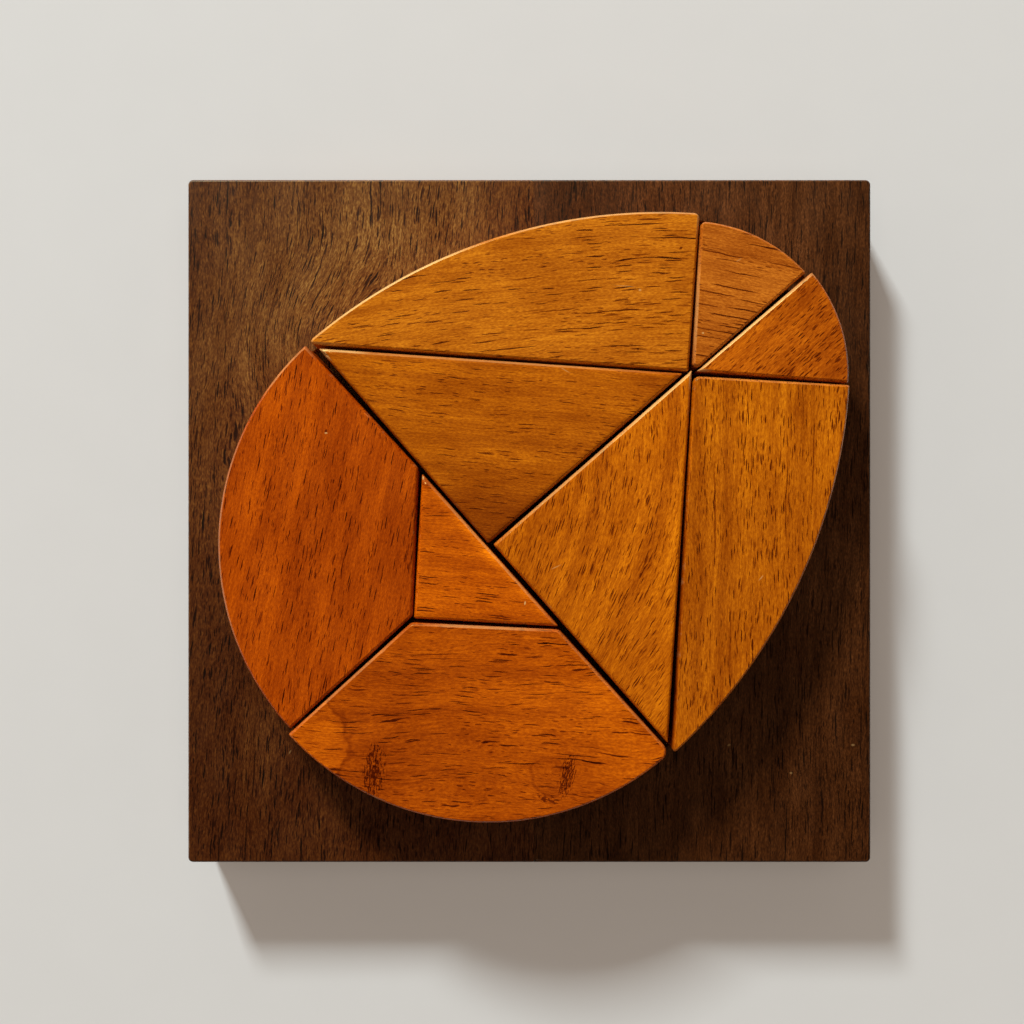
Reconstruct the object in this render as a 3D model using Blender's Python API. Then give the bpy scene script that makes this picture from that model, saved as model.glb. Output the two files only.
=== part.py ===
"""Egg tangram puzzle. Nine hardwood pieces close into an egg and lie in a shallow egg-shaped recess of a
square board, which is glued up from two planks. Metres, +Z up, origin under the middle of the board."""

import math
from typing import NamedTuple

import bmesh
import bpy
from mathutils import Matrix, Vector

MM = 0.001

# Board
BOARD_SIDE = 140 * MM
BOARD_THICKNESS = 15 * MM
BOARD_CORNER_RADIUS = 1.0 * MM
BOARD_EDGE_ROUND = 0.5 * MM
GLUE_LINE_X = 0.9 * MM
GLUE_LINE_WIDTH = 0.2 * MM
RECESS_DEPTH = 3 * MM
RECESS_CLEARANCE = 1.2 * MM

# Egg, drawn with compasses on the base diameter: the flanks are struck from its two ends, the tip from the hub
BASE_RADIUS = 53 * MM
FLANK_RADIUS = 2 * BASE_RADIUS
TIP_RADIUS = (2 - math.sqrt(2)) * BASE_RADIUS
EGG_MIDDLE = Vector((-8.1 * MM, -5.8 * MM))
EGG_TURN = math.radians(41.5)
NOTCH_REACH = 20.4 * MM

# Pieces
PIECE_THICKNESS = 15 * MM
PIECE_EDGE_ROUND = 0.5 * MM
SEAT_GAP = 0.1 * MM

# Fineness of the curves
ARC_CHORD = 2 * MM
CORNER_STEP = math.radians(15)
EDGE_ROUND_SEGMENTS = 2
SHARP_ANGLE = math.radians(40)

# Finishes: linear colour
DARK_STAIN = (0.060, 0.018, 0.006)
DARKER_STAIN = (0.045, 0.014, 0.005)
AMBER = (0.43, 0.105, 0.007)
HONEY_BROWN = (0.39, 0.088, 0.004)
RUSSET = (0.37, 0.061, 0.002)
SATIN = 0.32


class Side:
    """One side of an outline that runs anticlockwise: a straight cut, or an arc where it has a centre."""

    def __init__(self, start, end, centre=None):
        self.start = start
        self.end = end
        self.centre = centre

    def outward(self, point):
        if self.centre is not None:
            return (point - self.centre).normalized()
        run = (self.end - self.start).normalized()
        return Vector((run.y, -run.x))

    def radius(self):
        return (self.start - self.centre).length


def egg_point(along, across):
    """A point of the egg's pattern: along its axis towards the tip, and across it to the left."""
    return EGG_MIDDLE + Matrix.Rotation(EGG_TURN, 2) @ Vector((along, across))


SHOULDER = TIP_RADIUS / math.sqrt(2)
PATTERN = {
    "middle": egg_point(0, 0),
    "left_end": egg_point(0, BASE_RADIUS),
    "right_end": egg_point(0, -BASE_RADIUS),
    "heel": egg_point(-BASE_RADIUS, 0),
    "hub": egg_point(BASE_RADIUS, 0),
    "tip": egg_point(BASE_RADIUS + TIP_RADIUS, 0),
    "left_shoulder": egg_point(BASE_RADIUS + SHOULDER, SHOULDER),
    "right_shoulder": egg_point(BASE_RADIUS + SHOULDER, -SHOULDER),
    "notch_left": egg_point(0, NOTCH_REACH),
    "notch_right": egg_point(0, -NOTCH_REACH),
    "notch_foot": egg_point(-NOTCH_REACH, 0),
}

# Each arc of the pattern: where it starts, anticlockwise, and the point that it is struck from
ARC_CENTRES = {
    ("left_shoulder", "left_end"): "right_end",
    ("right_end", "right_shoulder"): "left_end",
    ("tip", "left_shoulder"): "hub",
    ("right_shoulder", "tip"): "hub",
    ("left_end", "heel"): "middle",
    ("heel", "right_end"): "middle",
}


class Piece(NamedTuple):
    """A puzzle piece, and how it was finished and laid down against the pattern."""

    name: str
    corners: list  # points of the pattern, anticlockwise
    colour: tuple
    sanded_mm: float  # how far its sides lie inside the pattern's lines
    moved_mm: tuple  # to the right and up
    turned_deg: float  # anticlockwise
    blunt_corner: str = ""  # one that was rubbed round
    blunt_radius_mm: float = 0


PIECES = [
    Piece("left_flank", ["hub", "left_shoulder", "left_end"], AMBER, 0.05, (-0.58, 0.12), -0.62),
    Piece("right_flank", ["hub", "right_end", "right_shoulder"], AMBER, 0.24, (0.04, -0.67), 0.27,
          blunt_corner="hub", blunt_radius_mm=1.4),
    Piece("left_tip_sector", ["hub", "tip", "left_shoulder"], AMBER, 0.36, (-0.60, -1.38), 0.14,
          blunt_corner="hub", blunt_radius_mm=0.9),
    Piece("right_tip_sector", ["hub", "right_shoulder", "tip"], RUSSET, 0.37, (-0.10, -0.67), -0.90),
    Piece("left_large_triangle", ["middle", "hub", "left_end"], HONEY_BROWN, 0.75, (0.03, 0.45), -0.40),
    Piece("right_large_triangle", ["middle", "right_end", "hub"], AMBER, 0.41, (0.28, 1.27), -0.22),
    Piece("left_base", ["left_end", "heel", "notch_foot", "notch_left"], RUSSET, 0.04, (0.18, 0.68), 1.25),
    Piece("right_base", ["heel", "right_end", "notch_right", "notch_foot"], RUSSET, 0.10, (0.31, -0.06), 0.78,
          blunt_corner="right_end", blunt_radius_mm=2.0),
    Piece("small_triangle", ["notch_left", "notch_foot", "notch_right"], RUSSET, 0.17, (0.48, 0.32), 0.30),
]


def meeting_point(first, second, inward):
    """Where two sides meet, near the corner that they share, once both have moved inward."""
    corner = first.end
    if first.centre is None and second.centre is None:
        normals = Matrix((first.outward(corner), second.outward(corner)))
        reach = Vector((normals[0].dot(first.start) - inward, normals[1].dot(second.start) - inward))
        return normals.inverted() @ reach
    arc, line = (first, second) if second.centre is None else (second, first)
    normal = line.outward(corner)
    run = Vector((-normal.y, normal.x))
    foot = arc.centre + normal * (normal.dot(line.start - arc.centre) - inward)
    half_chord = math.sqrt((arc.radius() - inward) ** 2 - (foot - arc.centre).length_squared)
    return min((foot + run * half_chord, foot - run * half_chord), key=lambda p: (p - corner).length)


def angle_of(direction):
    return math.atan2(direction.y, direction.x)


def sweep(centre, radius, start, end, largest_step):
    """Points of an arc from one angle anticlockwise to another, both ends included."""
    turn = (end - start) % (2 * math.pi)
    steps = max(1, math.ceil(turn / largest_step))
    angles = [start + turn * i / steps for i in range(steps + 1)]
    return [centre + radius * Vector((math.cos(a), math.sin(a))) for a in angles]


def corner_points(before, after, inward, radius):
    """The corner of an outline: one point where it is cut sharp, or an arc where it has a radius."""
    if not radius:
        return [meeting_point(before, after, inward)]
    centre = meeting_point(before, after, inward + radius)
    start = angle_of(before.outward(centre))
    end = angle_of(after.outward(centre))
    return sweep(centre, radius, start, end, CORNER_STEP)


def outline_of(sides, inward, corner_radii):
    """The outline that the sides enclose once moved inward."""
    corners = [
        corner_points(sides[i - 1], side, inward, corner_radii[i]) for i, side in enumerate(sides)
    ]
    outline = []
    for i, side in enumerate(sides):
        outline += corners[i]
        if side.centre is None:
            continue
        radius = side.radius() - inward
        start = angle_of(corners[i][-1] - side.centre)
        end = angle_of(corners[(i + 1) % len(sides)][0] - side.centre)
        outline += sweep(side.centre, radius, start, end, ARC_CHORD / radius)[1:-1]
    return outline


def egg_outline(clearance):
    """The whole egg's outline, grown by a clearance."""
    outline = []
    arcs = [
        ("middle", BASE_RADIUS, 90, 270),
        ("left_end", FLANK_RADIUS, 270, 315),
        ("hub", TIP_RADIUS, 315, 405),
        ("right_end", FLANK_RADIUS, 45, 90),
    ]
    for centre, radius, start, end in arcs:
        grown = radius + clearance
        angles = [EGG_TURN + math.radians(a) for a in (start, end)]
        outline += sweep(PATTERN[centre], grown, *angles, ARC_CHORD / grown)[:-1]
    return outline


def wood(name, colour, roughness=SATIN):
    material = bpy.data.materials.new(name)
    material.use_nodes = True
    shader = material.node_tree.nodes["Principled BSDF"]
    shader.inputs["Base Color"].default_value = (*colour, 1)
    shader.inputs["Roughness"].default_value = roughness
    shader.inputs["Metallic"].default_value = 0
    return material


def slab(name, outline, thickness):
    """An object made by raising an outline from its own floor."""
    shape = bmesh.new()
    floor = shape.faces.new([shape.verts.new((p.x, p.y, 0)) for p in outline])
    raised = bmesh.ops.extrude_face_region(shape, geom=[floor])["geom"]
    top = [item for item in raised if isinstance(item, bmesh.types.BMVert)]
    bmesh.ops.translate(shape, verts=top, vec=(0, 0, thickness))
    bmesh.ops.recalc_face_normals(shape, faces=shape.faces)
    mesh = bpy.data.meshes.new(name)
    shape.to_mesh(mesh)
    shape.free()
    mesh.shade_smooth()
    mesh.set_sharp_from_angle(angle=SHARP_ANGLE)
    slab_object = bpy.data.objects.new(name, mesh)
    bpy.context.scene.collection.objects.link(slab_object)
    return slab_object


def round_edges(piece, radius):
    bevel = piece.modifiers.new("rounded edges", "BEVEL")
    bevel.width = radius
    bevel.segments = EDGE_ROUND_SEGMENTS
    bevel.limit_method = "ANGLE"
    bevel.angle_limit = SHARP_ANGLE


def cut(piece, cutter, operation):
    boolean = piece.modifiers.new(cutter.name, "BOOLEAN")
    boolean.object = cutter
    boolean.operation = operation
    boolean.solver = "EXACT"


def as_cutter(shape):
    shape.hide_render = True
    shape.display_type = "WIRE"
    return shape


def rectangle_sides(low, high):
    corners = [Vector((low.x, low.y)), Vector((high.x, low.y)), high, Vector((low.x, high.y))]
    return [Side(corner, corners[(i + 1) % 4]) for i, corner in enumerate(corners)]


def rectangle_outline(low, high):
    return [side.start for side in rectangle_sides(low, high)]


def make_recess_cutter():
    recess = as_cutter(slab("egg recess", egg_outline(RECESS_CLEARANCE), 2 * RECESS_DEPTH))
    recess.location.z = BOARD_THICKNESS - RECESS_DEPTH
    return recess


def make_plank(name, colour, recess, inner_edge, outer_edge):
    """One plank: the finished board's shape, kept on this side of the glue line, with its share of the recess."""
    half = BOARD_SIDE / 2
    sides = rectangle_sides(Vector((-half, -half)), Vector((half, half)))
    plank = slab(name, outline_of(sides, 0, [BOARD_CORNER_RADIUS] * 4), BOARD_THICKNESS)
    round_edges(plank, BOARD_EDGE_ROUND)
    low = Vector((min(inner_edge, outer_edge), -BOARD_SIDE))
    high = Vector((max(inner_edge, outer_edge), BOARD_SIDE))
    share = as_cutter(slab(name + " share", rectangle_outline(low, high), 3 * BOARD_THICKNESS))
    share.location.z = -BOARD_THICKNESS
    cut(plank, share, "INTERSECT")
    cut(plank, recess, "DIFFERENCE")
    plank.data.materials.append(wood(name, colour))


def make_piece(piece):
    """One puzzle piece, turned and moved about the middle of its corners to where it lies in the recess."""
    points = [PATTERN[corner] for corner in piece.corners]
    centre = sum(points, Vector((0, 0))) / len(points)
    sides = []
    radii = []
    for corner, after in zip(piece.corners, piece.corners[1:] + piece.corners[:1]):
        struck_from = ARC_CENTRES.get((corner, after))
        arc_centre = PATTERN[struck_from] - centre if struck_from else None
        sides.append(Side(PATTERN[corner] - centre, PATTERN[after] - centre, arc_centre))
        radii.append(piece.blunt_radius_mm * MM if corner == piece.blunt_corner else 0)
    block = slab(piece.name, outline_of(sides, piece.sanded_mm * MM, radii), PIECE_THICKNESS)
    round_edges(block, PIECE_EDGE_ROUND)
    lies_at = centre + Vector(piece.moved_mm) * MM
    block.location = (lies_at.x, lies_at.y, BOARD_THICKNESS - RECESS_DEPTH + SEAT_GAP)
    block.rotation_euler.z = math.radians(piece.turned_deg)
    block.data.materials.append(wood(piece.name, piece.colour))


def main():
    for old in list(bpy.data.objects):
        bpy.data.objects.remove(old)
    recess = make_recess_cutter()
    half_line = GLUE_LINE_WIDTH / 2
    make_plank("board_left_plank", DARK_STAIN, recess, GLUE_LINE_X - half_line, -BOARD_SIDE)
    make_plank("board_right_plank", DARKER_STAIN, recess, GLUE_LINE_X + half_line, BOARD_SIDE)
    for piece in PIECES:
        make_piece(piece)


main()
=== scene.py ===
"""The looks of an egg tangram puzzle: nine lacquered hardwood pieces that close into an egg and lie in
the recess of a dark stained board. Metres, +Z up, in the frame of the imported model."""

import math
from typing import NamedTuple

import bmesh
import bpy
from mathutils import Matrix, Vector
from mathutils.geometry import intersect_line_line


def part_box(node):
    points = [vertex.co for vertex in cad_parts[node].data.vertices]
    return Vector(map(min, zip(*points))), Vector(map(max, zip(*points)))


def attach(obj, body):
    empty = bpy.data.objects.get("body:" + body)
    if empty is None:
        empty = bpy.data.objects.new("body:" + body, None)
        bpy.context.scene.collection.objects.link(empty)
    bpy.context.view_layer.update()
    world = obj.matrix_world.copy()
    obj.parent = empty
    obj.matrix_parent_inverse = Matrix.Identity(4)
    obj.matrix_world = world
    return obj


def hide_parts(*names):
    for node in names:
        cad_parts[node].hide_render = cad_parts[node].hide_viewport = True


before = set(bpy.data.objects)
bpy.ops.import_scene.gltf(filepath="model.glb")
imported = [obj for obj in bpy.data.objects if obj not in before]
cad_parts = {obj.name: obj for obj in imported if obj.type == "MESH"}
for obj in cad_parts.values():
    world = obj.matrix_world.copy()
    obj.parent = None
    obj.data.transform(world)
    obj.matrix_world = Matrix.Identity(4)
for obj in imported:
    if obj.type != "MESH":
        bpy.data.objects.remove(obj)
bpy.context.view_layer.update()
bpy.ops.object.select_all(action="DESELECT")

MM = 0.001
BOARD_NODES = ("board_left_plank", "board_right_plank")

# Camera: straight above the puzzle, as in the photograph
IMAGE_SIDE = 1024  # pixels
FOCAL_LENGTH = 1147  # pixels
CAMERA_PLACE = Vector((-3.56, 1.85, 250)) * MM
SENSOR_WIDTH = 36  # millimetres
NEAREST_SEEN = 0.01

# Light: a window, low beyond the upper left corner, a broad soft lamp overhead that the lacquer doesn't
# mirror, and a dim warm room that is brighter towards the window
WINDOW_TOWARDS = Vector((-0.40, 0.917))
WINDOW_ELEVATION = math.radians(29)
WINDOW_DISTANCE = 3.0
WINDOW_WIDTH = 0.40
WINDOW_HEIGHT = 0.45
WINDOW_WATTS = 114
WINDOW_COLOUR = (0.96, 1.0, 0.98)
OVERHEAD_HEIGHT = 2.2
OVERHEAD_SIDE = 2.5
OVERHEAD_WATTS = 16
ROOM_COLOUR = (1.0, 0.84, 0.70)
ROOM_LEVEL = 0.40
ROOM_LEAN = (-0.45, 0.35)  # how much brighter it is to the right, and to the photograph's upper side
ROOM_DIMS = (0.40, 0.75)  # how high a direction points, as a sine, where it starts and ends to darken
BACKGROUND_COLOUR = (0.80, 0.79, 0.77)
FLOOR_SIDE = 6.0
FLOOR_COLOUR = (0.60, 0.62, 0.63)
FLOOR_GLOW = (0.095, 0.075, 0.062)  # what the camera sees on top of the light that falls on the floor
FLOOR_CLOUD = 0.012  # size of its faint clouds
FLOOR_CLOUD_SHADE = 0.97
FLOOR_ROUGHNESS = 0.9
FLOOR_GLOSS = 0.1

# Heights
BOARD_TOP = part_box("board_left_plank")[1].z
RECESS_DEPTH = 3 * MM

# Worked edges
PIECE_RIM_ROUND = 0.6 * MM  # how far a piece's rims are eased inwards
RIM_STEEPNESS = 1.3  # how many times as far they are eased down its sides
PIECE_RIM_DEPTH = PIECE_RIM_ROUND * RIM_STEEPNESS
PIECE_CORNER_ROUND = 0.35 * MM
LARGEST_ROUND = 2.5 * MM
BOARD_RIM_ROUND = 0.5 * MM
RIM_SEGMENTS = 4
RIM_PROFILE = 0.42  # 0.25 is flat and 0.5 round
ROUND_PROFILE = 0.5
RIM_STEP = 1.2 * MM  # longest edge along a rim
RIM_WEAR = 0.10 * MM
RIM_WEAR_GRAIN = 2.2 * MM
CHIP_STEEPNESS = 2
MOUTH_ROUND = 0.3 * MM
MOUTH_SEGMENTS = 3
GLUE_LINE_WIDTH = 0.02 * MM
MERGE = 0.002 * MM
NEAR = 0.02 * MM
CORNER_TURN = math.radians(20)  # an outline turns more than this only at a corner
SHARP_ANGLE = math.radians(40)
SMOOTH_ANGLE = math.radians(50)
SAME_LINE = math.radians(0.5)
SAME_PLANE = math.radians(1)
FACES_UP = 0.9  # least upward part of a level face's normal


def seen_at(pixel, height):
    """The point at a height that the camera sees at a pixel of the photograph."""
    scale = (CAMERA_PLACE.z - height) / FOCAL_LENGTH
    right = (pixel[0] - IMAGE_SIDE / 2) * scale
    down = (pixel[1] - IMAGE_SIDE / 2) * scale
    return Vector((CAMERA_PLACE.x + right, CAMERA_PLACE.y - down, height))


class Pores(NamedTuple):
    """The dark open vessels of a wood, in millimetres."""

    width: float
    length: float
    spacing: float  # of the lattice that they lie in, across the grain
    gathered: float  # 0 where they are spread evenly, 1 where whole stretches have none
    tone: float = -2.6  # of the darkest of them


class Mark(NamedTuple):
    """A spot, scratch or dent at a pixel of the photograph, or a painted highlight or painted shade along
    a rim.
    """

    pixel: tuple
    size_mm: tuple  # along its own direction, and across
    turn: float  # degrees anticlockwise from the photograph's right
    strength: float  # above 0 bare and pale, on lit rims partly a painted highlight; below 0 dark, in one seam a painted shade


class Swirl(NamedTuple):
    """A place where the grain is pushed aside, across its own direction."""

    pixel: tuple
    reach_mm: float
    push_mm: float


class Patch(NamedTuple):
    """A broad stretch that is paler or darker, or of knotted wood; on the board some stretches are
    painted sheen and painted light in the shadows.
    """

    pixel: tuple
    size_mm: tuple
    turn: float
    tone: float
    ragged_mm: float = 0.0


class Chip(NamedTuple):
    """A place where the rim has lost a splinter."""

    pixel: tuple
    reach_mm: float
    depth_mm: float


class Blunt(NamedTuple):
    """An upright corner that is rounder than the rest."""

    pixel: tuple
    round_mm: float
    reach_mm: float = 3.0


class Wood(NamedTuple):
    """How one piece of wood looks. Lengths are millimetres, turns are degrees from the photograph's
    right, and a tone of 1 makes its red twice as bright, of -1 half as bright."""

    stain: tuple  # linear colour of its middle tone
    middle: tuple  # the pixel that the grain is drawn about
    turn: float  # way of the grain there
    seed: float
    pores: tuple
    rises: tuple = (1.0, 1.5, 2.0)  # how steeply its red, green and blue follow the tone
    bow: float = 0.0  # curve of the grain, one over millimetres
    wander: float = 0.6  # how far the grain strays
    band_width: float = 3.5
    bands: float = 0.25  # tone of the growth bands
    mottle: float = 0.18  # tone of the broad clouds
    fibre: float = 0.27  # tone of the fine lines
    fleck: float = 0.28  # tone of the short flecks
    roughness: float = 0.30
    gloss: float = 0.32
    tint: tuple = (1.0, 0.95, 0.25)  # of the gloss
    swirls: tuple = ()
    patches: tuple = ()
    knots: tuple = ()
    marks: tuple = ()
    wear_and_highlight: tuple = ()  # marks where the rim is painted pale: partly rubbed bare wood, and on rims lit by the window a painted highlight
    chips: tuple = ()
    blunt: tuple = ()


# What the grain of every piece has in common. Sizes are of clouds along, across and through the grain
WANDER_SIZES = (45, 14, 14)
RIPPLE_SIZES = (3.5, 1.2, 1.2)
RIPPLE = 0.10  # how far the grain strays in its ripples
BAND_LENGTH = 110
MOTTLE_SIZES = (13, 6, 6)
FIBRE_SIZES = (5, 0.34, 0.34)
FLECK_SIZES = (0.7, 0.22, 0.22)
CROWD_SIZES = (30, 3.5, 3.5)  # of the stretches with many pores
CROWDED = (0.36, 0.60)  # where in that noise the pores start to open, and are open
PORE_CORE = 0.7  # share of a pore's width that is fully dark
FAINT_PORES = 0.7  # share of the pores that are fainter than the rest
FAINTEST_PORE = 0.45
KNOT_DASH_SIZES = (0.8, 0.24, 0.24)
KNOT_DASHES = (0.58, 0.68)  # where in that noise a dash starts, and is fully dark
KNOT_THICKENING = 0.2  # of the dashes, towards the middle of a knot
KNOT_EDGE = 0.35
RAGGED_SIZE = 4 * MM  # of the lobes of a ragged edge
NOISE_SPAN = (0.25, 0.75)  # of nearly all values of a noise
SEED_STEP = (7.31, 3.17, 5.53)

# How far from its middle an oval starts to fade, as a share of its size
SOFT_EDGE = 0.0
MARK_EDGE = 0.3
RAGGED_EDGE = 0.92

# Finish
# tone of a dark mark per unit of its strength; the painted shade along right_flank's seam uses it too
DARK_MARK_AND_SHADE_TONE = 2.0
RIM_START = 0.02 * MM  # how far below the top face a rim starts
RIM_FULL = 0.12 * MM  # and where it is fully there
RIM_FADES = 0.9  # how many rim depths down it starts to fade
RIM_END = 1.3  # and where it has gone
RUB_SIZE = 2.5 * MM  # of the places where a rim is rubbed
RUBBED = (0.55, 0.75)  # where in that noise the rubbing starts, and is strongest
RUBBED_BARE = 0.2
ROUGHNESS_SWING = 0.04
BUMP_STRENGTH = 0.25
PORE_DEPTH = 0.06 * MM
FIBRE_HEIGHT = 0.2  # as a share of that depth
# pale rim colour: bare wood where rubbed, and on the rims lit by the window also a painted highlight
BARE_WOOD_AND_HIGHLIGHT = (0.72, 0.43, 0.155)
FINE_PORES = Pores(0.20, 1.6, 0.40, 0.75, -1.7)
LONG_PORES = Pores(0.28, 13, 0.80, 0.45, -2.8)
LEFT_PLANK_PORES = (
    Pores(0.36, 4.2, 0.56, 0.25, -3.2),
    Pores(0.36, 13, 1.0, 0.4, -2.8),
    Pores(0.24, 1.8, 0.36, 0.3, -2.4),
)
RIGHT_PLANK_PORES = (
    Pores(0.36, 5.5, 0.56, 0.25, -2.4),
    Pores(0.36, 16, 1.0, 0.4, -2.3),
    Pores(0.24, 1.8, 0.36, 0.3, -2.0),
)
BOARD_FINISH = {
    "band_width": 2.5,
    "fleck": 0.6,
    "roughness": 0.44,
    "gloss": 0.35,
    "tint": (1.0, 0.95, 0.6),
}
# the left plank's green and blue rise more steeply, which also gives its painted sheen an olive hue
LEFT_PLANK_RISES = (1.0, 1.52, 2.05)
RIGHT_PLANK_RISES = (1.0, 1.25, 1.8)
GLUE_LINE = Mark((534, 520), (90, 0.12), 90, -0.8)

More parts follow.
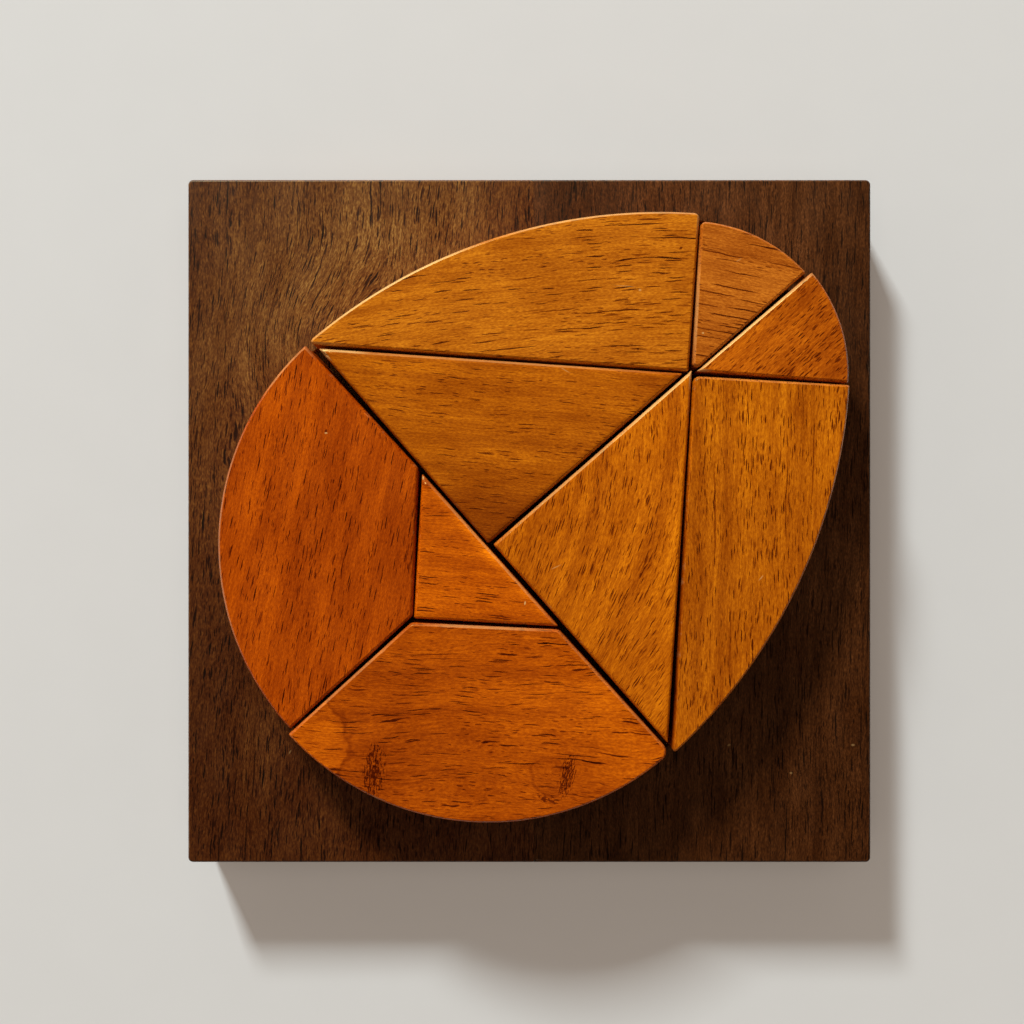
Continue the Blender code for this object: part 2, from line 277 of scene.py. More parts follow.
WOODS = {
    "left_flank": Wood(
        stain=(0.515, 0.135, 0.004), middle=(560, 300), turn=4, seed=1.0,
        pores=(Pores(0.28, 4.5, 0.48, 0.6), LONG_PORES, FINE_PORES),
        bow=-0.0012,
        patches=(Patch((460, 258), (10, 5), 20, 0.2), Patch((465, 322), (14, 7), 5, -0.22)),
        wear_and_highlight=(Mark((390, 285), (26, 7), 32, 0.85), Mark((600, 222), (34, 5), 0, 0.45)),
        blunt=(Blunt((308, 343), 1.7), Blunt((698, 212), 1.0)),
        marks=(
            Mark((681, 248), (0.5, 0.3), 40, -0.9),
            Mark((638, 349), (0.4, 0.3), 0, -0.8),
            Mark((625, 286), (2.6, 0.12), -4, 0.35),
            Mark((640, 290), (0.35, 0.3), 0, 0.6),
        ),
    ),
    "right_flank": Wood(
        stain=(0.435, 0.097, 0.001), middle=(740, 520), turn=89, seed=2.0,
        pores=(Pores(0.28, 3.0, 0.40, 0.3, -2.2), Pores(0.50, 30, 1.5, 0.6, -1.0), FINE_PORES),
        band_width=2.0, bands=0.30, mottle=0.10,
        patches=(
            Patch((795, 410), (5, 3), 90, -0.35),
            Patch((765, 425), (22, 18), 0, 0.25),
            Patch((700, 620), (16, 28), 0, -0.1),
            Patch((815, 475), (16, 7), 75, 0.22),
        ),
        marks=(
            Mark((761, 578), (0.9, 0.15), 50, 0.5),
            # painted shade: two dark strips along the left rim, at the seam with right_large_triangle,
            # stand in for the shade there
            Mark((673, 705), (14, 1.0), 87, -0.7),
            Mark((681, 570), (45, 1.0), 87, -0.45),
        ),
        wear_and_highlight=(Mark((770, 379), (26, 1.5), -3, 0.15),),
        chips=(Chip((693, 455), 0.9, 0.5),),
        blunt=(Blunt((672, 754), 1.5),),
    ),
    "left_tip_sector": Wood(
        stain=(0.46, 0.112, 0.007), middle=(735, 300), turn=-11, seed=3.0,
        pores=(Pores(0.34, 12, 0.54, 0.15, -2.3), FINE_PORES),
        wander=0.4,
        marks=(Mark((703, 333), (0.3, 0.25), 0, 0.8), Mark((739, 260), (0.8, 0.2), 30, 0.3)),
        wear_and_highlight=(Mark((695, 290), (18, 1.5), 90, 0.35),),
        blunt=(Blunt((702, 222), 1.0),),
    ),
    "right_tip_sector": Wood(
        stain=(0.44, 0.085, 0.0015), middle=(790, 340), turn=43, seed=4.0,
        pores=(Pores(0.30, 2.0, 0.38, 0.25, -1.8), FINE_PORES),
        patches=(
            Patch((840, 372), (5, 3), 40, -0.3),
            Patch((838, 345), (9, 10), 0, -0.25),
            Patch((735, 352), (8, 4), 40, 0.4),
            Patch((812, 300), (5, 5), 0, -0.35),
        ),
        wear_and_highlight=(Mark((749, 328), (22, 2.5), 40, 0.8),),
    ),
    "left_large_triangle": Wood(
        stain=(0.41, 0.088, 0.001), middle=(500, 420), turn=-5, seed=5.0,
        pores=(Pores(0.24, 4.0, 0.46, 0.6, -2.0), FINE_PORES),
        patches=(
            # darker towards its lower tip
            Patch((490, 540), (24, 18), 0, -0.9),
            Patch((650, 385), (6, 2.5), 0, -0.4),
            Patch((385, 378), (12, 5), 0, 0.15),
        ),
        marks=(Mark((565, 370), (1.5, 0.12), -30, 0.4), Mark((321, 354), (0.6, 0.4), -40, 0.8)),
        wear_and_highlight=(Mark((335, 352), (9, 2), 0, 0.7), Mark((500, 361), (44, 2), -3, 0.25)),
        chips=(Chip((321, 353), 1.3, 0.45),),
    ),
    "right_large_triangle": Wood(
        stain=(0.50, 0.110, 0.001), middle=(655, 420), turn=89, seed=6.0,
        pores=(Pores(0.26, 3.0, 0.38, 0.25, -1.9), FINE_PORES),
        bow=0.006, band_width=2.0, mottle=0.10,
        patches=(
            Patch((663, 715), (6, 4), 45, 0.15),
            Patch((682, 555), (6, 30), 0, 0.4),
            Patch((640, 440), (14, 5), 41, 0.22),
            Patch((660, 600), (5, 12), 0, 0.2),
        ),
        marks=(Mark((556, 567), (1.4, 0.12), 25, 0.5),),
        wear_and_highlight=(Mark((665, 398), (16, 2.5), 41, 0.7), Mark((590, 460), (30, 2.5), 41, 0.4)),
    ),
    "left_base": Wood(
        stain=(0.40, 0.0535, 0.0001), middle=(320, 540), turn=79, seed=7.0,
        pores=(Pores(0.27, 3.8, 0.45, 0.4), FINE_PORES),
        patches=(Patch((305, 405), (18, 12), 0, 0.14), Patch((392, 540), (5, 24), 0, -0.1)),
        marks=(Mark((326, 431), (0.5, 0.35), 60, -0.8), Mark((326, 433), (0.4, 0.22), 0, 0.8)),
        wear_and_highlight=(Mark((288, 372), (9, 4), 50, 0.3), Mark((224, 520), (40, 6), 90, 0.18)),
        chips=(Chip((398, 447), 0.6, 0.25),),
    ),
    "right_base": Wood(
        stain=(0.42, 0.066, 0.0002), middle=(480, 720), turn=-3, seed=8.0,
        pores=(Pores(0.27, 4.5, 0.48, 0.6), LONG_PORES, FINE_PORES),
        wander=1.6,
        patches=(
            Patch((297, 743), (10.6, 10.6), 0, -0.5, 2.6),
            Patch((297, 743), (10.0, 10.0), 0, 0.9, 2.6),
            Patch((549, 778), (4.2, 4.2), 0, -0.45, 1.6),
            Patch((550, 777), (3.8, 3.8), 0, 0.35, 1.6),
            Patch((620, 720), (24, 14), -40, 0.5),
            Patch((400, 720), (22, 16), 0, -0.25),
            Patch((470, 648), (34, 5), 0, 0.15),
            Patch((572, 698), (7, 4.5), 0, -0.35),
            Patch((385, 778), (14, 6), 0, -0.15),
        ),
        knots=(
            Patch((374, 770), (7.8, 3.2), 86, -2.0),
            Patch((567, 776), (6.2, 2.2), 76, -2.0),
            Patch((548, 799), (4.0, 1.2), -15, -1.6),
        ),
        wear_and_highlight=(
            Mark((350, 682), (20, 2.5), 42, 0.22),
            Mark((490, 627), (19, 1.5), 0, 0.32),
            Mark((612, 690), (24, 1.5), -47, 0.15),
        ),
        chips=(Chip((384, 651), 0.6, 0.3), Chip((447, 626), 0.6, 0.3)),
    ),
    "small_triangle": Wood(
        stain=(0.495, 0.081, 0.0002), middle=(460, 580), turn=-5, seed=9.0,
        pores=(Pores(0.26, 5.0, 0.46, 0.6), FINE_PORES),
        patches=(Patch((426, 485), (2.2, 1.4), -45, -0.7), Patch((490, 552), (22, 2.4), -48, 0.7)),
        wear_and_highlight=(Mark((490, 552), (24, 1.5), -48, 0.3),),
        marks=(Mark((525, 603), (0.5, 0.2), 80, 1.0), Mark((423, 478), (0.5, 0.3), 90, 0.7)),
        chips=(Chip((425, 483), 0.9, 0.4),),
    ),
    "board_left_plank": Wood(
        stain=(0.059, 0.0113, 0.0009), middle=(300, 300), turn=86, seed=10.0,
        pores=LEFT_PLANK_PORES,
        rises=LEFT_PLANK_RISES, wander=1.0, bands=0.22, mottle=0.2, fibre=0.46, **BOARD_FINISH,
        swirls=(Swirl((318, 345), 24, -6.5),),
        patches=(
            # painted sheen: the window's broad reflection on the upper left of the board, painted as a
            # much paler stretch
            Patch((365, 285), (92, 60), 62, 1.7),
            Patch((310, 338), (4, 3), 40, -0.8),
            Patch((395, 205), (11, 5), 0, -0.4),
            Patch((255, 745), (10, 22), 0, 0.4),
            Patch((430, 830), (16, 8), 0, -0.3),
        ),
        marks=(GLUE_LINE, Mark((290, 752), (0.7, 0.2), 60, 0.2)),
    ),
    "board_right_plank": Wood(
        stain=(0.0465, 0.0105, 0.0012), middle=(760, 500), turn=89, seed=11.0,
        pores=RIGHT_PLANK_PORES,
        rises=RIGHT_PLANK_RISES, bands=0.30, mottle=0.25, fibre=0.52, **BOARD_FINISH,
        patches=(
            # partly paler wood at the top, partly painted sheen of the window on it
            Patch((740, 190), (70, 30), 0, 0.9),
            # painted light: lifts the shade of the pieces' cast shadow along the board's right side
            Patch((838, 570), (20, 38), 0, 0.6),
            Patch((805, 258), (10, 7), -35, 0.6),
            Patch((860, 200), (6, 6), 0, -0.5),
            # painted light in the penumbra of the egg's shadow below its lower right
            Patch((735, 755), (7, 20), 0, 0.45),
        ),
        marks=(
            GLUE_LINE,
            Mark((729, 745), (0.5, 0.3), 30, 0.25),
            Mark((791, 773), (0.4, 0.3), 0, 0.25),
            Mark((853, 745), (0.5, 0.3), 0, 0.25),
        ),
        chips=(Chip((868, 366), 1.0, 0.4), Chip((536, 860), 0.8, 0.4)),
    ),
}


class Wiring:
    """A node tree in the making, with short words for the nodes that it is wired from."""

    def __init__(self, tree):
        self.tree = tree

    def feed(self, socket, value):
        if isinstance(value, bpy.types.NodeSocket):
            self.tree.links.new(value, socket)
        else:
            socket.default_value = value

    def add(self, kind, inputs, output=0, **settings):
        node = self.tree.nodes.new("ShaderNode" + kind)
        for name, value in settings.items():
            setattr(node, name, value)
        for socket, value in inputs.items():
            self.feed(node.inputs[socket], value)
        return node.outputs[output]

    def apart(self, vector):
        """The three parts of a vector."""
        return tuple(self.add("SeparateXYZ", {0: vector}).node.outputs)

    def math(self, operation, first, second=0.0):
        return self.add("Math", {0: first, 1: second}, operation=operation)

    def joined(self, operation, values):
        """All the values added up, or the greatest of them."""
        so_far = values[0]
        for value in values[1:]:
            so_far = self.math(operation, so_far, value)
        return so_far

    def fade(self, value, start, end, first=0.0, last=1.0):
        """Goes softly from first to last as the value goes from start to end."""
        inputs = {"Value": value, "From Min": start, "From Max": end, "To Min": first, "To Max": last}
        return self.add("MapRange", inputs, interpolation_type="SMOOTHSTEP")


class Finish(Wiring):
    """A material in the making."""

    def __init__(self, name):
        self.material = bpy.data.materials.new(name)
        self.material.use_nodes = True
        super().__init__(self.material.node_tree)
        self.shader = self.tree.nodes["Principled BSDF"]

    def stretch(self, place, sizes, seed):
        scale = tuple(1 / size for size in sizes)
        shift = tuple(seed * step for step in SEED_STEP)
        return self.add("Mapping", {"Vector": place, "Scale": scale, "Location": shift})

    def noise(self, place, sizes, seed, detail=2.0, roughness=0.5):
        """Cloudy values around a half, with clouds of these sizes along, across and through the grain."""
        stretched = self.stretch(place, sizes, seed)
        inputs = {"Vector": stretched, "Scale": 1.0, "Detail": detail, "Roughness": roughness}
        return self.add("TexNoise", inputs)

    def swing(self, noise, reach):
        """Moves a noise to between plus and minus its reach, nearly."""
        return self.fade(noise, *NOISE_SPAN, -reach, reach)

    def laid(self, place, middle, turn, size):
        """The place as seen from a middle, turned, and measured in a size."""
        rotation = (0, 0, math.radians(turn))
        inputs = {"Vector": place, "Location": middle, "Rotation": rotation, "Scale": size}
        return self.add("Mapping", inputs, vector_type="TEXTURE")

    def mix(self, share, first, second):
        inputs = {0: share, 6: first, 7: second}
        return self.add("Mix", inputs, output=2, data_type="RGBA")

    def stained(self, stain, rises, tone):
        """A stain's colour at a tone, which its red, green and blue follow more or less steeply."""
        channels = {}
        for channel, share, rise in zip(("Red", "Green", "Blue"), stain, rises):
            lift = self.math("POWER", 2.0, self.math("MULTIPLY", tone, rise))
            channels[channel] = self.math("MULTIPLY", lift, share)
        return self.add("CombineColor", channels)


def spot(finish, place, pixel, height, size_mm, turn, edge):
    """1 inside an oval at a pixel of the photograph, and 0 outside. It goes right through the wood."""
    length, width = size_mm
    size = (length * MM, width * MM, 1)
    oval = finish.laid(place, seen_at(pixel, height), turn, size)
    flat = finish.add("VectorMath", {0: oval, 1: (1, 1, 0)}, operation="MULTIPLY")
    away = finish.add("VectorMath", {0: flat}, output="Value", operation="LENGTH")
    return finish.fade(away, 1.0, edge)


def grain_place(finish, wood, top):
    """Millimetres along, across and through the grain, which bows, strays and swirls."""
    place = finish.add("TexCoord", {}, output="Object")
    straight = finish.laid(place, seen_at(wood.middle, top), wood.turn, (MM, MM, MM))
    along, across, through = finish.apart(straight)
    strayed = [
        across,
        finish.swing(finish.noise(straight, WANDER_SIZES, wood.seed), wood.wander),
        finish.swing(finish.noise(straight, RIPPLE_SIZES, wood.seed + 0.5), RIPPLE),
    ]
    if wood.bow:
        squared = finish.math("MULTIPLY", along, along)
        strayed.append(finish.math("MULTIPLY", squared, -wood.bow))
    for swirl in wood.swirls:
        near = spot(finish, place, swirl.pixel, top, (swirl.reach_mm, swirl.reach_mm), 0, SOFT_EDGE)
        strayed.append(finish.math("MULTIPLY", near, swirl.push_mm))
    inputs = {0: along, 1: finish.joined("ADD", strayed), 2: through}
    return place, finish.add("CombineXYZ", inputs)


def pore_mask(finish, grain, pores, seed):
    """Up to 1 in the pores: long drops, one to each cell of a stretched lattice, cut by the surface."""
    cell = (pores.spacing * pores.length / pores.width, pores.spacing, pores.spacing)
    lattice = finish.stretch(grain, cell, seed)
    away = finish.add("TexVoronoi", {"Vector": lattice, "Scale": 1.0}, output="Distance")
    chance, _, _ = finish.apart(away.node.outputs["Color"])
    crowd = finish.noise(grain, CROWD_SIZES, seed + 0.4)
    reach = pores.width / 2 / pores.spacing
    opening = finish.fade(crowd, *CROWDED, reach * (1 - pores.gathered), reach)
    core = finish.math("MULTIPLY", opening, PORE_CORE)
    inside = finish.fade(away, opening, core)
    depth = finish.fade(chance, 0.0, FAINT_PORES, FAINTEST_PORE, 1.0)
    return finish.math("MULTIPLY", inside, depth)


def knot_mask(finish, place, knot, top, seed):
    """Up to 1 in the dark dashes of a knot, which lie along it and are thickest in its middle."""
    inside = spot(finish, place, knot.pixel, top, knot.size_mm, knot.turn, SOFT_EDGE)
    along = finish.laid(place, seen_at(knot.pixel, top), knot.turn, (MM, MM, MM))
    dashes = finish.noise(along, KNOT_DASH_SIZES, seed)
    thickened = finish.math("ADD", dashes, finish.math("MULTIPLY", inside, KNOT_THICKENING))
    dark = finish.fade(thickened, *KNOT_DASHES)
    return finish.math("MULTIPLY", dark, finish.fade(inside, 0.0, KNOT_EDGE))


def patch_mask(finish, place, patch, top):
    """1 inside a patch, whose edge is soft, or else sharp and ragged."""
    if not patch.ragged_mm:
        return spot(finish, place, patch.pixel, top, patch.size_mm, patch.turn, SOFT_EDGE)
    inputs = {"Vector": place, "Scale": 1 / RAGGED_SIZE, "Detail": 2.0}
    ragged = finish.add("TexNoise", inputs, output="Color")
    centred = finish.add("VectorMath", {0: ragged, 1: (0.5, 0.5, 0.5)}, operation="SUBTRACT")
    reach = patch.ragged_mm * 2 * MM
    inputs = {0: centred, 1: (reach, reach, 0), 2: place}
    at = finish.add("VectorMath", inputs, operation="MULTIPLY_ADD")
    return spot(finish, at, patch.pixel, top, patch.size_mm, patch.turn, RAGGED_EDGE)


def rim_mask(finish, place, top, rim_depth):
    """1 on the rim below a top face."""
    _, _, level = finish.apart(place)
    below_top = finish.fade(level, top - RIM_FULL, top - RIM_START, 1.0, 0.0)
    above_wall = finish.fade(level, top - RIM_END * rim_depth, top - RIM_FADES * rim_depth)
    return finish.math("MULTIPLY", below_top, above_wall)


def wood_finish(name, wood, top, rim_depth):
    """Stained and lacquered wood, with its grain, pores, knots, patches, marks and rubbed rims; some
    patches and marks are painted highlight, sheen, light or shade.
    """
    finish = Finish(name)
    place, grain = grain_place(finish, wood, top)
    seed = wood.seed
    bands = finish.noise(grain, (BAND_LENGTH, wood.band_width, wood.band_width), seed + 0.1, detail=3.0)
    mottle = finish.noise(grain, MOTTLE_SIZES, seed + 0.2)
    fibre = finish.noise(grain, FIBRE_SIZES, seed + 0.3, detail=3.0, roughness=0.6)
    fleck = finish.noise(grain, FLECK_SIZES, seed + 0.6, detail=1.0)
    tones = [
        finish.swing(bands, wood.bands),
        finish.swing(mottle, wood.mottle),
        finish.swing(fibre, wood.fibre),
        finish.swing(fleck, wood.fleck),
    ]
    hollows = []
    for number, pores in enumerate(wood.pores):
        mask = pore_mask(finish, grain, pores, seed + 2 + number)
        hollows.append(mask)
        tones.append(finish.math("MULTIPLY", mask, pores.tone))
    for number, knot in enumerate(wood.knots):
        mask = knot_mask(finish, place, knot, top, seed + 6 + number)
        tones.append(finish.math("MULTIPLY", mask, knot.tone))
    for patch in wood.patches:
        mask = patch_mask(finish, place, patch, top)
        tones.append(finish.math("MULTIPLY", mask, patch.tone))
    # Pale rims: rubbed bare wood all round, and on the marked rims that face the window a painted
    # highlight
    rubbed = finish.noise(place, (RUB_SIZE, RUB_SIZE, RUB_SIZE), seed + 7, detail=4.0, roughness=0.65)
    wear_and_highlight = finish.fade(rubbed, *RUBBED, 0.0, RUBBED_BARE)
    rim = rim_mask(finish, place, top, rim_depth)
    bare_and_highlight = [finish.math("MULTIPLY", rim, wear_and_highlight)]
    for mark in wood.wear_and_highlight:
        inside = spot(finish, place, mark.pixel, top, mark.size_mm, mark.turn, MARK_EDGE)
        bare_and_highlight.append(finish.math("MULTIPLY", rim, finish.math("MULTIPLY", inside, mark.strength)))
    for mark in wood.marks:
        inside = spot(finish, place, mark.pixel, top, mark.size_mm, mark.turn, MARK_EDGE)
        if mark.strength > 0:
            bare_and_highlight.append(finish.math("MULTIPLY", inside, mark.strength))
        else:
            # dark marks: specks and dents, and the painted shade along a seam
            tones.append(finish.math("MULTIPLY", inside, DARK_MARK_AND_SHADE_TONE * mark.strength))
    colour = finish.stained(wood.stain, wood.rises, finish.joined("ADD", tones))
    colour = finish.mix(finish.joined("MAXIMUM", bare_and_highlight), colour, (*BARE_WOOD_AND_HIGHLIGHT, 1))

    open_pores = finish.joined("MAXIMUM", hollows)
    finish.feed(finish.shader.inputs["Base Color"], colour)
    roughness = finish.math("ADD", finish.swing(mottle, ROUGHNESS_SWING), wood.roughness)
    finish.feed(finish.shader.inputs["Roughness"], roughness)
    finish.shader.inputs["Specular IOR Level"].default_value = wood.gloss
    finish.shader.inputs["Specular Tint"].default_value = (*wood.tint, 1)
    height = finish.math("SUBTRACT", finish.math("MULTIPLY", fibre, FIBRE_HEIGHT), open_pores)
    inputs = {"Strength": BUMP_STRENGTH, "Distance": PORE_DEPTH, "Height": height}
    finish.feed(finish.shader.inputs["Normal"], finish.add("Bump", inputs, output="Normal"))
    return finish.material


def make_active(piece):
    bpy.ops.object.select_all(action="DESELECT")
    piece.select_set(True)
    bpy.context.view_layer.objects.active = piece


def select_in_edit(piece, kind, wanted):
    """Selects just the vertices, edges or faces for which wanted holds."""
    bpy.ops.mesh.select_mode(type={"verts": "VERT", "edges": "EDGE", "faces": "FACE"}[kind])
    bpy.ops.mesh.select_all(action="DESELECT")
    shape = bmesh.from_edit_mesh(piece.data)
    found = [item for item in getattr(shape, kind) if wanted(item)]
    for item in found:
        item.select_set(True)
    shape.select_flush_mode()
    bmesh.update_edit_mesh(piece.data)
    return len(found)


def apply_modifier(piece, kind, **settings):
    modifier = piece.modifiers.new(kind.lower(), kind)
    for name, value in settings.items():
        setattr(modifier, name, value)
    make_active(piece)
    bpy.ops.object.modifier_apply(modifier=modifier.name)


def copy_of_node(node, name):
    """A new object with a CAD node's shape, its loose triangles merged, left in edit mode."""
    piece = bpy.data.objects.new(name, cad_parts[node].data.copy())
    piece.data.materials.clear()
    bpy.context.scene.collection.objects.link(piece)
    make_active(piece)
    bpy.ops.object.mode_set(mode="EDIT")
    bpy.ops.mesh.select_mode(type="VERT")
    bpy.ops.mesh.select_all(action="SELECT")
    bpy.ops.mesh.remove_doubles(threshold=MERGE)
    return piece


def outline_of_node(node, name, height):
    """The flat outline of a CAD node at a height, with the points that it needs, left in edit mode."""
    piece = copy_of_node(node, name)
    bpy.ops.mesh.bisect(
        plane_co=(0, 0, height), plane_no=(0, 0, 1), use_fill=True, clear_inner=True, clear_outer=True)
    bpy.ops.mesh.select_all(action="SELECT")
    bpy.ops.mesh.remove_doubles(threshold=MERGE)
    bpy.ops.mesh.select_all(action="SELECT")
    bpy.ops.mesh.dissolve_limited(angle_limit=SAME_LINE)
    bpy.ops.mesh.select_all(action="SELECT")
    bpy.ops.mesh.delete(type="ONLY_FACE")
    return piece


def neighbour(vertex, other_than):
    ends = [edge.other_vert(vertex) for edge in vertex.link_edges]
    return ends[1] if ends[0] == other_than else ends[0]


def turn_at(vertex):
    """How far the outline turns at one of its points."""
    first, second = (edge.other_vert(vertex).co - vertex.co for edge in vertex.link_edges)
    return math.pi - first.angle(second)


def point_corners(piece):
    """Brings each rounded corner of the outline, three points there, back to the point its sides make."""
    shape = bmesh.from_edit_mesh(piece.data)
    turns = {vertex: turn_at(vertex) for vertex in shape.verts}
    spare = []
    for vertex, turn in turns.items():
        before, after = (edge.other_vert(vertex) for edge in vertex.link_edges)
        if turn < CORNER_TURN or turn < turns[before] or turn < turns[after]:
            continue
        start = neighbour(before, vertex)
        end = neighbour(after, vertex)
        vertex.co = intersect_line_line(start.co, before.co, end.co, after.co)[0]
        spare += [before.index, after.index]
    bmesh.update_edit_mesh(piece.data)
    if select_in_edit(piece, "verts", lambda vertex: vertex.index in spare):
        bpy.ops.mesh.dissolve_verts()


def raise_outline(piece, low, high):
    """Fills the outline, lays it at its lowest height and raises it to its highest."""
    bpy.ops.mesh.select_all(action="SELECT")
    bpy.ops.mesh.edge_face_add()
    start = bmesh.from_edit_mesh(piece.data).verts
    start.ensure_lookup_table()
    bpy.ops.transform.translate(value=(0, 0, low - start[0].co.z))
    bpy.ops.mesh.extrude_region_move(TRANSFORM_OT_translate={"value": (0, 0, high - low)})
    bpy.ops.mesh.select_all(action="SELECT")
    bpy.ops.mesh.normals_make_consistent(inside=False)


def round_edges(piece, radius, segments, wanted):
    """Rounds over the sharp edges for which wanted holds."""
    def sharp(edge):
        return edge.is_manifold and edge.calc_face_angle() > SHARP_ANGLE and wanted(edge)
    select_in_edit(piece, "edges", sharp)
    bpy.ops.mesh.bevel(offset=radius, segments=segments, profile=ROUND_PROFILE, affect="EDGES")


def level_edge(edge):
    return abs(edge.verts[0].co.z - edge.verts[1].co.z) < MERGE


def ease_edges(piece, top, blunt):
    """Eases a puzzle piece's rims and its upright corners, some of which are blunter than the rest."""
    def upright_round(edge):
        for corner in blunt:
            place = seen_at(corner.pixel, top)
            if (edge.verts[0].co.xy - place.xy).length < corner.reach_mm * MM:
                return corner.round_mm * MM
        return PIECE_CORNER_ROUND

    shape = bmesh.from_edit_mesh(piece.data)
    shares = shape.edges.layers.float.new("bevel_weight_edge")
    for edge in shape.edges:
        if edge.calc_face_angle() > SHARP_ANGLE:
            rounding = PIECE_RIM_ROUND if level_edge(edge) else upright_round(edge)
            edge[shares] = rounding / LARGEST_ROUND
    bmesh.update_edit_mesh(piece.data)
    bpy.ops.object.mode_set(mode="OBJECT")
    apply_modifier(
        piece, "BEVEL", width=LARGEST_ROUND, segments=RIM_SEGMENTS, profile=RIM_PROFILE,
        limit_method="WEIGHT", use_clamp_overlap=False)
    bpy.ops.object.mode_set(mode="EDIT")


def shorten_rim(piece):
    """Cuts the long level edges into short ones, so that the rim can be worn unevenly."""
    def long(edge):
        return level_edge(edge) and edge.calc_length() > RIM_STEP
    while select_in_edit(piece, "edges", long):
        bpy.ops.mesh.subdivide(number_cuts=1)


def wear_rim(piece, top, rim_depth, chips):
    """Rubs the upper rim down a little, unevenly, and breaks the chips out of it."""
    rim = piece.vertex_groups.new(name="rim")
    rubbed = [v.index for v in piece.data.vertices if top - rim_depth + NEAR < v.co.z < top - NEAR]
    rim.add(rubbed, 1.0, "REPLACE")
    clouds = bpy.data.textures.get("rim wear") or bpy.data.textures.new("rim wear", "CLOUDS")
    clouds.noise_scale = RIM_WEAR_GRAIN
    apply_modifier(
        piece, "DISPLACE", texture=clouds, texture_coords="LOCAL", strength=RIM_WEAR, mid_level=1.0,
        vertex_group=rim.name)
    piece.vertex_groups.clear()
    for chip in chips:
        broken = seen_at(chip.pixel, top)
        for vertex in (piece.data.vertices[number] for number in rubbed):
            near = 1 - (vertex.co - broken).length / (chip.reach_mm * MM)
            if near > 0:
                vertex.co -= vertex.normal * chip.depth_mm * MM * min(1, CHIP_STEEPNESS * near)
                vertex.co.z = min(vertex.co.z, top)


def finish_shape(piece, node, body, top, rim_depth):
    """Smooths the shading, gives the piece its wood and puts it in its node's place."""
    make_active(piece)
    bpy.ops.object.shade_smooth_by_angle(angle=SMOOTH_ANGLE)
    apply_modifier(piece, "WEIGHTED_NORMAL", keep_sharp=True)
    piece.data.materials.append(wood_finish(piece.name, WOODS[node], top, rim_depth))
    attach(piece, body)
    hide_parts(node)


def make_puzzle_piece(node):
    """One piece of the egg. It is eased while it lies flattened, so that its rims come out steep."""
    low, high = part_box(node)
    wood = WOODS[node]
    piece = outline_of_node(node, node + "_wood", (low.z + high.z) / 2)
    point_corners(piece)
    raise_outline(piece, low.z / RIM_STEEPNESS, high.z / RIM_STEEPNESS)
    ease_edges(piece, high.z, wood.blunt)
    bpy.ops.mesh.select_all(action="SELECT")
    bpy.ops.transform.resize(value=(1, 1, RIM_STEEPNESS), center_override=(0, 0, 0))
    shorten_rim(piece)
    bpy.ops.object.mode_set(mode="OBJECT")
    wear_rim(piece, high.z, PIECE_RIM_DEPTH, wood.chips)
    finish_shape(piece, node, node, high.z, PIECE_RIM_DEPTH)


def make_recess_cutter(node, glue_x, past_glue):
    """What was routed out of a plank, raised from its node's recess floor and run past the glue line."""
    cutter = copy_of_node(node, node + "_cutter")
    floor = BOARD_TOP - RECESS_DEPTH

    def off_floor(face):
        return abs(face.calc_center_median().z - floor) > MERGE or face.normal.z < FACES_UP
    select_in_edit(cutter, "faces", off_floor)
    bpy.ops.mesh.delete(type="FACE")
    bpy.ops.mesh.select_all(action="SELECT")
    bpy.ops.mesh.dissolve_limited(angle_limit=SAME_PLANE)
    bpy.ops.mesh.select_all(action="SELECT")
    bpy.ops.mesh.extrude_region_move(TRANSFORM_OT_translate={"value": (0, 0, 2 * RECESS_DEPTH)})
    bpy.ops.mesh.select_all(action="SELECT")
    bpy.ops.mesh.normals_make_consistent(inside=False)
    select_in_edit(cutter, "verts", lambda vertex: abs(vertex.co.x - glue_x) < NEAR)
    bpy.ops.transform.translate(value=(past_glue, 0, 0))
    bpy.ops.object.mode_set(mode="OBJECT")
    return cutter


def make_plank(node, glue_x, towards_other):
    """One plank of the board, a hair from the other, rounded outside, with its share of the recess."""
    low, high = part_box(node)
    cad_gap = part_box(BOARD_NODES[1])[0].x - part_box(BOARD_NODES[0])[1].x
    closing = towards_other * (cad_gap - GLUE_LINE_WIDTH) / 2
    below_recess = (low.z + high.z) / 4
    plank = outline_of_node(node, node + "_wood", below_recess)
    select_in_edit(plank, "verts", lambda vertex: abs(vertex.co.x - glue_x) < NEAR)
    bpy.ops.transform.translate(value=(closing, 0, 0))
    raise_outline(plank, low.z, high.z)
    glued = glue_x + closing

    def outer_rim(edge):
        return level_edge(edge) and any(abs(vertex.co.x - glued) > NEAR for vertex in edge.verts)
    round_edges(plank, BOARD_RIM_ROUND, RIM_SEGMENTS, outer_rim)
    shorten_rim(plank)
    bpy.ops.object.mode_set(mode="OBJECT")
    wear_rim(plank, high.z, BOARD_RIM_ROUND, WOODS[node].chips)
    cutter = make_recess_cutter(node, glue_x, towards_other * MM)
    apply_modifier(plank, "BOOLEAN", object=cutter, operation="DIFFERENCE", solver="EXACT")
    bpy.data.objects.remove(cutter)

    def recess_mouth(edge):
        return level_edge(edge) and abs(edge.verts[0].co.z - high.z) < MERGE and outer_rim(edge)
    make_active(plank)
    bpy.ops.object.mode_set(mode="EDIT")
    round_edges(plank, MOUTH_ROUND, MOUTH_SEGMENTS, recess_mouth)
    bpy.ops.object.mode_set(mode="OBJECT")
    finish_shape(plank, node, "board", high.z, BOARD_RIM_ROUND)


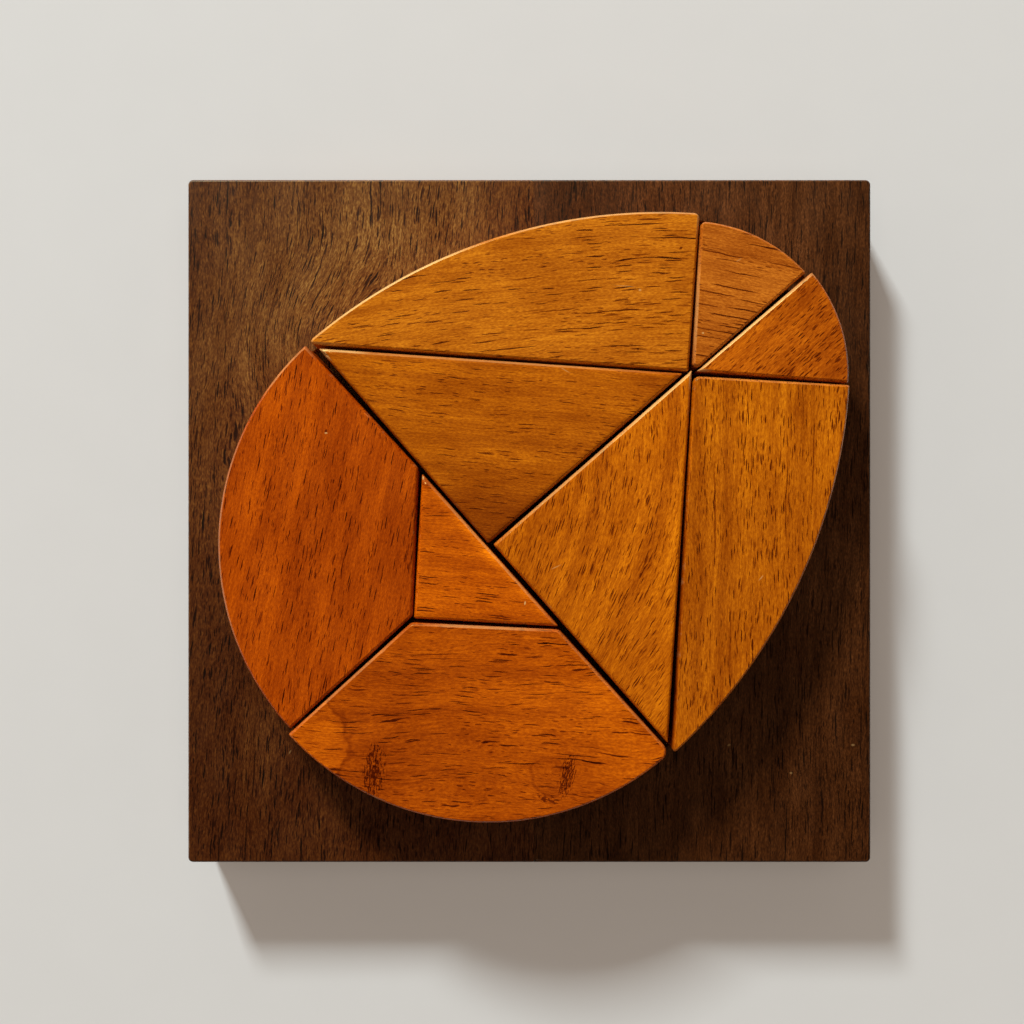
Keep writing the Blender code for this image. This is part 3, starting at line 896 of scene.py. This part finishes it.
def make_floor():
    bpy.ops.mesh.primitive_plane_add(size=FLOOR_SIDE)
    floor = bpy.context.object
    floor.name = "floor"
    finish = Finish("pale floor")
    place = finish.add("TexCoord", {}, output="Object")
    cloud = finish.noise(place, (FLOOR_CLOUD, FLOOR_CLOUD, FLOOR_CLOUD), 0.5, detail=3.0)
    darker = tuple(FLOOR_CLOUD_SHADE * share for share in FLOOR_COLOUR)
    finish.feed(finish.shader.inputs["Base Color"], finish.mix(cloud, (*darker, 1), (*FLOOR_COLOUR, 1)))
    finish.shader.inputs["Roughness"].default_value = FLOOR_ROUGHNESS
    finish.shader.inputs["Specular IOR Level"].default_value = FLOOR_GLOSS
    finish.shader.inputs["Emission Color"].default_value = (*FLOOR_GLOW, 1)
    seen = finish.add("LightPath", {}, output="Is Camera Ray")
    finish.feed(finish.shader.inputs["Emission Strength"], seen)
    floor.data.materials.append(finish.material)


def make_lamp(name, towards, distance, size, watts, colour):
    """A soft flat lamp, some way off in a direction, that faces the puzzle."""
    light = bpy.data.lights.new(name, "AREA")
    light.shape = "RECTANGLE"
    light.size, light.size_y = size
    light.energy = watts
    light.color = colour
    lamp = bpy.data.objects.new(name, light)
    lamp.location = towards * distance
    lamp.rotation_euler = towards.to_track_quat("Z", "Y").to_euler()
    bpy.context.scene.collection.objects.link(lamp)
    return lamp


def make_lights():
    level = WINDOW_TOWARDS.normalized() * math.cos(WINDOW_ELEVATION)
    towards = Vector((level.x, level.y, math.sin(WINDOW_ELEVATION)))
    size = (WINDOW_WIDTH, WINDOW_HEIGHT)
    make_lamp("window", towards, WINDOW_DISTANCE, size, WINDOW_WATTS, WINDOW_COLOUR)
    up = Vector((0, 0, 1))
    size = (OVERHEAD_SIDE, OVERHEAD_SIDE)
    overhead = make_lamp("overhead", up, OVERHEAD_HEIGHT, size, OVERHEAD_WATTS, ROOM_COLOUR)
    overhead.visible_glossy = False


def make_room():
    """The light that the room gives from each direction, and the plain background in the picture."""
    world = bpy.data.worlds.new("room")
    bpy.context.scene.world = world
    world.use_nodes = True
    room = Wiring(world.node_tree)
    sides = room.apart(room.add("TexCoord", {}, output="Generated"))
    leans = [room.math("MULTIPLY", side, lean) for side, lean in zip(sides, ROOM_LEAN)]
    level = room.fade(sides[2], *ROOM_DIMS, ROOM_LEVEL, 0.0)
    strength = room.math("MULTIPLY", level, room.joined("ADD", [1.0, *leans]))
    light = room.add("Background", {"Color": (*ROOM_COLOUR, 1), "Strength": strength})
    background = room.add("Background", {"Color": (*BACKGROUND_COLOUR, 1), "Strength": 1.0})
    seen = room.add("LightPath", {}, output="Is Camera Ray")
    shown = room.add("MixShader", {0: seen, 1: light, 2: background})
    room.feed(room.tree.nodes["World Output"].inputs["Surface"], shown)


def make_camera():
    lens = bpy.data.cameras.new("camera")
    lens.sensor_width = SENSOR_WIDTH
    lens.lens = SENSOR_WIDTH * FOCAL_LENGTH / IMAGE_SIDE
    lens.clip_start = NEAREST_SEEN
    camera = bpy.data.objects.new("camera", lens)
    camera.location = CAMERA_PLACE
    bpy.context.scene.collection.objects.link(camera)
    bpy.context.scene.camera = camera


make_camera()
make_lights()
make_room()
make_floor()
for puzzle_node in WOODS:
    if puzzle_node not in BOARD_NODES:
        make_puzzle_piece(puzzle_node)
make_plank("board_left_plank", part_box("board_left_plank")[1].x, 1)
make_plank("board_right_plank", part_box("board_right_plank")[0].x, -1)
bpy.context.scene.view_settings.view_transform = "Standard"
